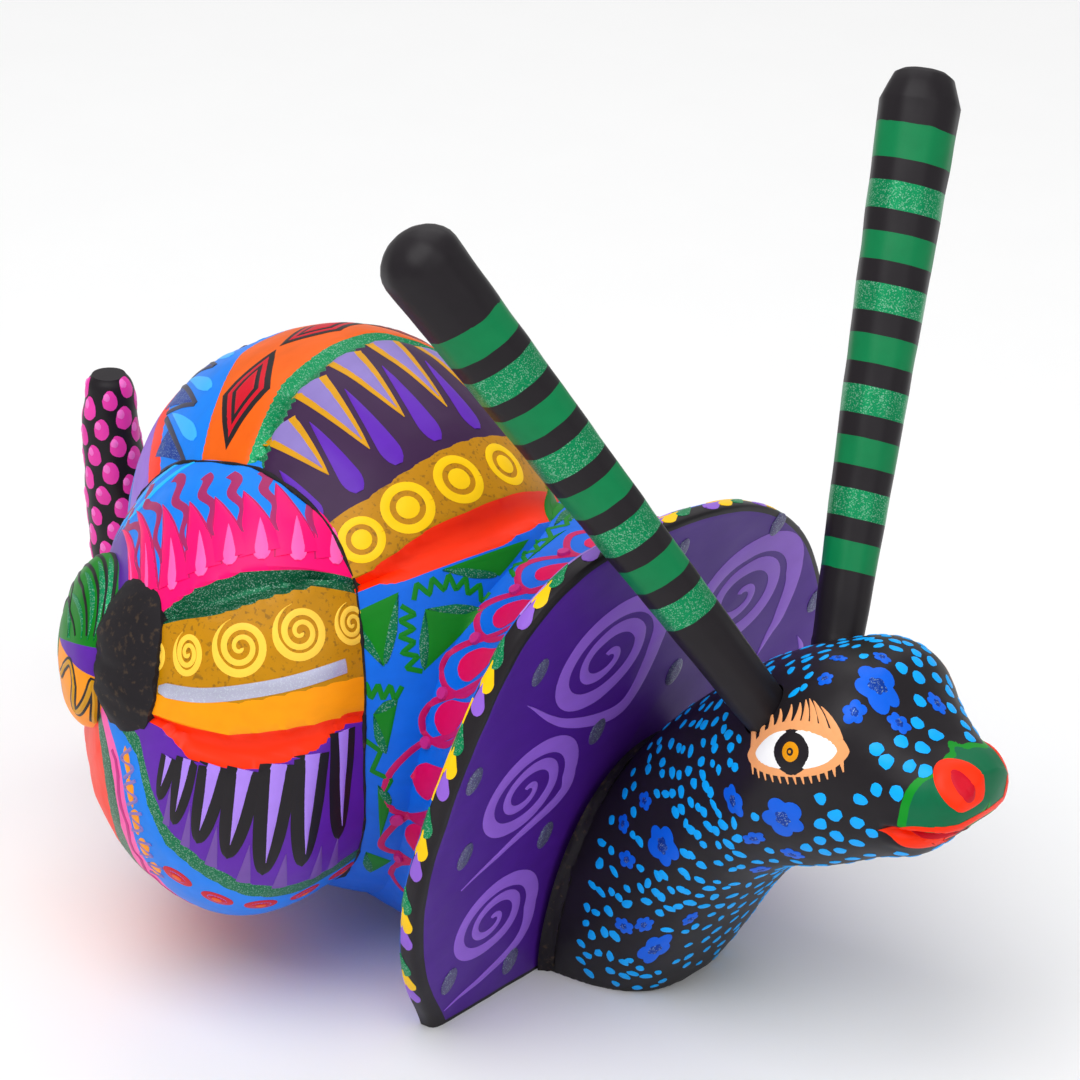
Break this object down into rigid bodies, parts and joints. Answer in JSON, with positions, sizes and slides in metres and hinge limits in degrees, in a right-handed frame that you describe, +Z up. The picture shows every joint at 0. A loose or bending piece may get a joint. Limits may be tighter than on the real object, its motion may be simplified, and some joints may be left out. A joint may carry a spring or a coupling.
{
  "type": "alebrije snail figure",
  "caption": "Carved and painted wooden snail figure with a coiled shell, a flared shell rim, a raised tail and two antennae that pull out of sockets in the head.",
  "frame": {"origin": "bottom centre of the whole snail's box, on the surface that it stands on", "axes": "+X the way the snail heads, +Y the snail's left, +Z up"},
  "size_m": [0.1942, 0.126, 0.1422],
  "materials": {
    "shell_paint": "hand-painted acrylic in bright bands, satin",
    "second_whorl_paint": "hand-painted acrylic in bright bands, satin",
    "apex_paint": "hand-painted acrylic, satin",
    "black_filler": "rough sawdust-and-glue filler painted black",
    "head_paint": "black acrylic with blue dots, satin",
    "antenna_paint": "black acrylic with flat and metallic green rings, satin",
    "tail_paint": "black acrylic with pink dots, satin",
    "bare_wood": "bare whittled wood",
    "nail_steel": "plain wire nail"
  },
  "bodies": {
    "snail": {"shell_body_whorl": "shell_paint", "shell_second_whorl": "second_whorl_paint", "shell_apex_whorl": "apex_paint", "apex_filler": "black_filler", "whorl_seam_filler": "black_filler", "head_neck": "head_paint", "neck_seam_filler": "black_filler", "tail": "tail_paint", "neck_dowel": "bare_wood", "second_whorl_dowel": "bare_wood", "apex_pin": "nail_steel", "tail_peg": "bare_wood"},
    "right_antenna": {"antenna_right": "antenna_paint"},
    "left_antenna": {"antenna_left": "antenna_paint"}
  },
  "joints": [
    {"name": "right_antenna_pull", "type": "slide", "parent": "snail", "child": "right_antenna", "axis": [-0.4318, -0.3774, 0.8192], "range_m": [0, 0.016]},
    {"name": "left_antenna_pull", "type": "slide", "parent": "snail", "child": "left_antenna", "axis": [-0.2038, 0.4869, 0.8493], "range_m": [0, 0.016]}
  ]
}
